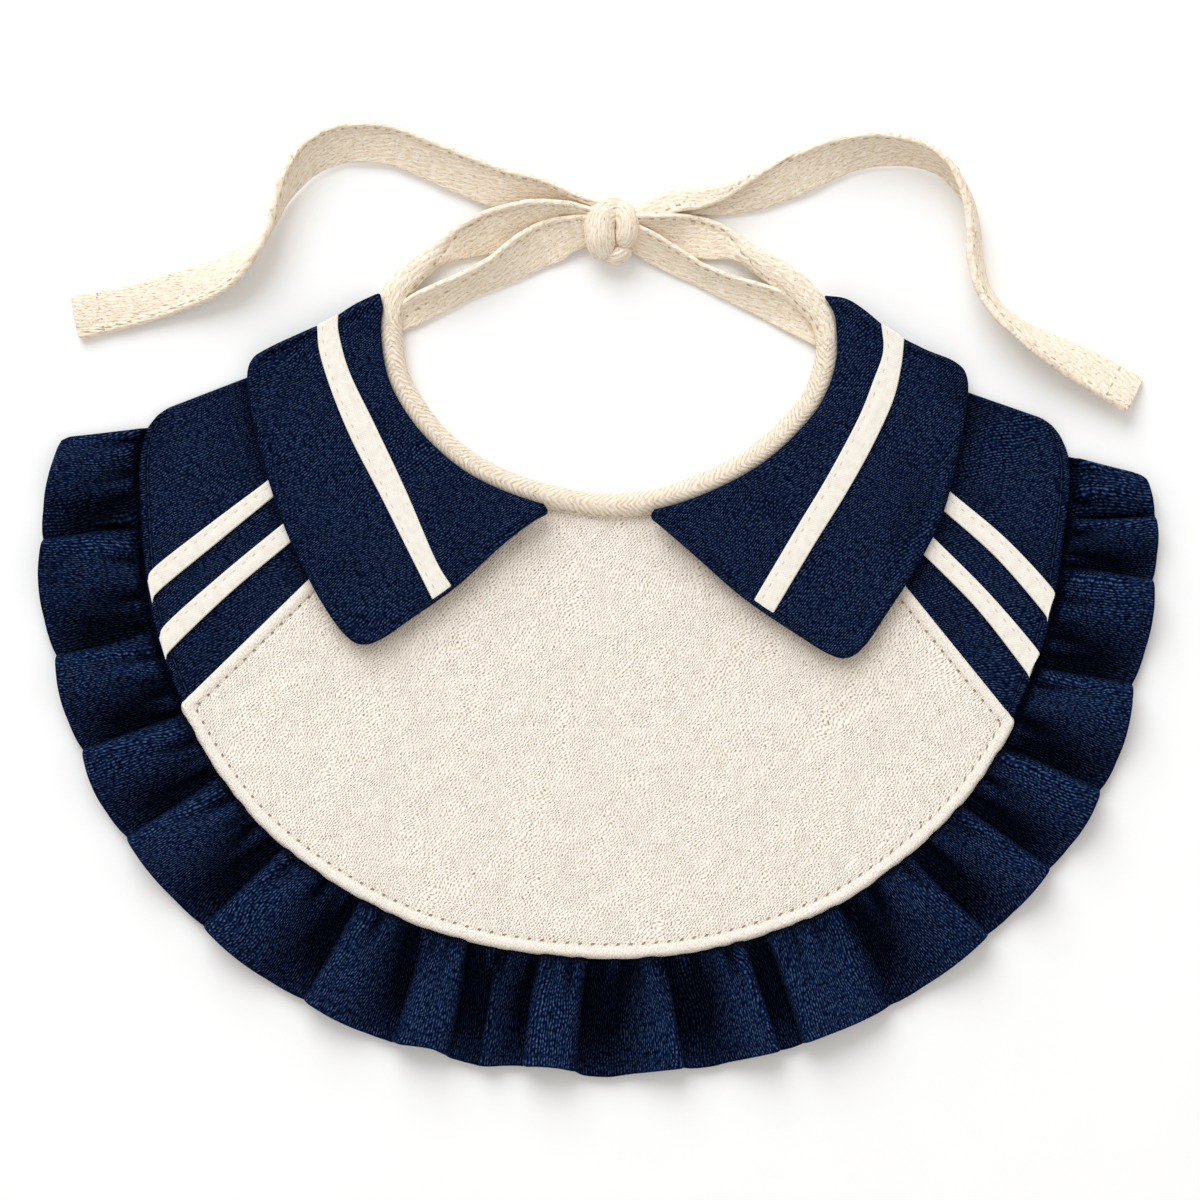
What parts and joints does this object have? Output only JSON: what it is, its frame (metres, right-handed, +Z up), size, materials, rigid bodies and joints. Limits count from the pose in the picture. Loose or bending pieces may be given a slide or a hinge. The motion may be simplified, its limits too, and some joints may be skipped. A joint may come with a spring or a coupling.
{
  "type": "peter pan collar",
  "caption": "Bib-style peter pan collar laid flat, with a gathered ruffle, rounded collar leaves, tape stripes and a rolled neck binding whose ties are knotted.",
  "frame": {"origin": "on the surface the collar lies on, midway between the two sides of the ruffle and between its hem and the knot", "axes": "+Z up out of the face that shows, +Y from the bib towards the knot, +X to the right when seen from above with the knot at the top"},
  "size_m": [0.2896, 0.247, 0.0126],
  "materials": {
    "navy_crepe": "matt crinkled cotton",
    "cream_linen": "matt plain weave",
    "cream_tape": "matt twill tape"
  },
  "bodies": {
    "root": {"bib_panel": "cream_linen", "shoulder_left": "navy_crepe", "shoulder_right": "navy_crepe", "collar_leaf_left": "navy_crepe", "collar_leaf_right": "navy_crepe", "leaf_stripe_left": "cream_tape", "leaf_stripe_right": "cream_tape", "shoulder_stripe_left_upper": "cream_tape", "shoulder_stripe_left_lower": "cream_tape", "shoulder_stripe_right_upper": "cream_tape", "shoulder_stripe_right_lower": "cream_tape", "neck_binding": "cream_tape", "ruffle": "navy_crepe", "neck_tie_left_upper": "cream_tape", "neck_tie_left_lower": "cream_tape", "neck_tie_right_upper": "cream_tape", "neck_tie_right_lower": "cream_tape", "tie_tail_left": "cream_tape", "tie_tail_right": "cream_tape", "knot": "cream_tape"}
  },
  "joints": []
}
